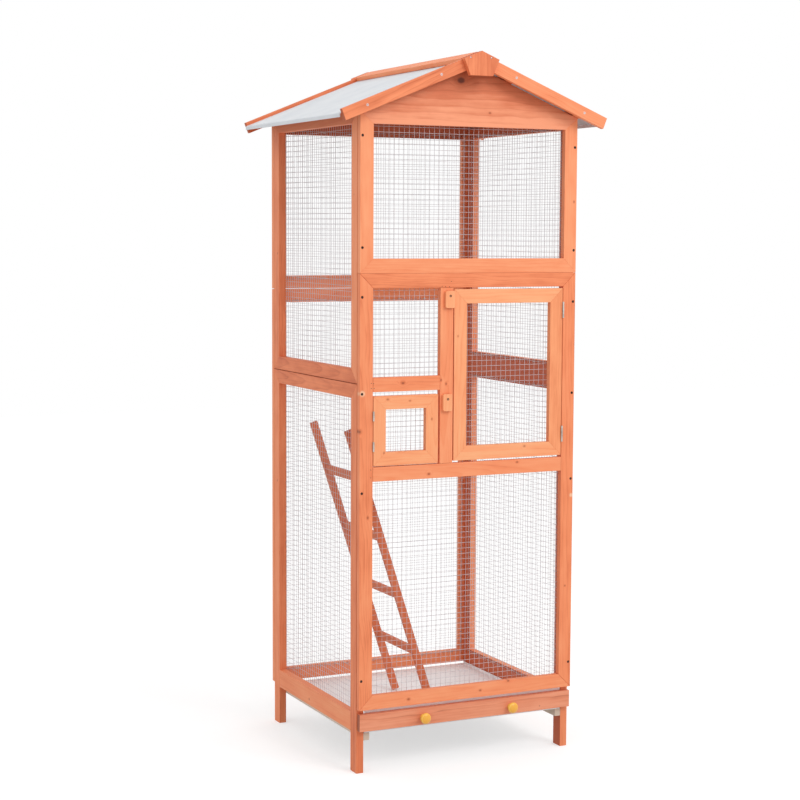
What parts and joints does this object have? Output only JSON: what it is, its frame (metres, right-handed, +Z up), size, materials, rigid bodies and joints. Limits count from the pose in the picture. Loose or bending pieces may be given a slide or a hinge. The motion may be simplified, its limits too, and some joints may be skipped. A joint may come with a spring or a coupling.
{
  "type": "outdoor wooden bird cage",
  "caption": "Tall free-standing wooden bird cage with a gabled roof, wire net walls, two hinged doors, a pull-out drawer tray and a leaning ladder.",
  "frame": {"origin": "on the ground, under the middle of the cage", "axes": "+Z up, -Y out of the front with the doors and the drawer, +X to the right seen from the front"},
  "size_m": [0.68, 0.63, 1.65],
  "materials": {
    "stained_wood": "orange-brown stained softwood, satin",
    "door_wood": "lighter orange stained softwood, satin",
    "raw_wood": "raw softwood, matt",
    "knob": "lacquered golden wood, glossy",
    "net": "galvanised welded wire",
    "tray": "white-grey sheet, satin",
    "hinge": "zinc plated steel, dulled",
    "roof_sheet": "pale grey sheet, satin"
  },
  "bodies": {
    "cage": {"front_lower_stile_left": "stained_wood", "front_lower_stile_right": "stained_wood", "front_lower_top_rail": "stained_wood", "front_lower_bottom_rail": "stained_wood", "front_mullion": "stained_wood", "front_window_rail": "stained_wood", "front_door_sill_rail": "stained_wood", "front_upper_frame": "stained_wood", "back_upper_frame": "stained_wood", "back_lower_frame": "stained_wood", "left_lower_frame": "stained_wood", "left_upper_frame": "stained_wood", "right_lower_frame": "stained_wood", "right_upper_frame": "stained_wood", "front_upper_net": "net", "front_window_net": "net", "front_lower_net": "net", "back_upper_net": "net", "back_lower_net": "net", "left_upper_net": "net", "left_lower_net": "net", "right_upper_net": "net", "right_lower_net": "net", "big_door_hinge_upper": "hinge", "big_door_hinge_lower": "hinge", "small_door_hinge_upper": "hinge", "small_door_hinge_lower": "hinge", "roof_sheet_left": "roof_sheet", "roof_sheet_right": "roof_sheet", "fascia_front_left": "stained_wood", "fascia_front_right": "stained_wood", "fascia_back_left": "stained_wood", "fascia_back_right": "stained_wood", "ridge_purlin_left": "stained_wood", "ridge_purlin_right": "stained_wood", "eave_purlin_left": "stained_wood", "eave_purlin_right": "stained_wood", "ridge_board_left": "stained_wood", "ridge_board_right": "stained_wood", "keystone_front": "stained_wood", "keystone_back": "stained_wood", "runner_left": "raw_wood", "runner_right": "raw_wood"},
    "big_door": {"big_door_frame": "door_wood", "big_door_net": "net"},
    "small_door": {"small_door_frame": "door_wood", "small_door_net": "net"},
    "big_door_button": {"big_door_button": "door_wood"},
    "small_door_button": {"small_door_button": "door_wood"},
    "drawer": {"drawer_front": "stained_wood", "tray": "tray", "drawer_knob_left": "knob", "drawer_knob_right": "knob"},
    "ladder": {"ladder_rail_front": "stained_wood", "ladder_rail_rear": "stained_wood", "ladder_rung_1": "stained_wood", "ladder_rung_2": "stained_wood", "ladder_rung_3": "stained_wood", "ladder_rung_4": "stained_wood"}
  },
  "joints": [
    {"name": "big_door_swing", "type": "hinge", "parent": "cage", "child": "big_door", "pos_m": [0.24625, -0.271, 0.914], "axis": [0, 0, 1], "range_deg": [0, 170]},
    {"name": "small_door_swing", "type": "hinge", "parent": "cage", "child": "small_door", "pos_m": [-0.24625, -0.271, 0.792], "axis": [0, 0, -1], "range_deg": [0, 170]},
    {"name": "big_button_turn", "type": "hinge", "parent": "cage", "child": "big_door_button", "pos_m": [-0.056, -0.2728, 1.097], "axis": [0, -1, 0], "continuous": true},
    {"name": "small_button_turn", "type": "hinge", "parent": "cage", "child": "small_door_button", "pos_m": [-0.061, -0.2728, 0.86], "axis": [0, 1, 0], "continuous": true},
    {"name": "drawer_slide", "type": "slide", "parent": "cage", "child": "drawer", "axis": [0, -1, 0], "range_m": [0, 0.46]},
    {"name": "ladder_tilt", "type": "hinge", "parent": "cage", "child": "ladder", "pos_m": [-0.03642, -0.035, 0.0958], "axis": [0, 1, 0], "range_deg": [0, 18]}
  ]
}
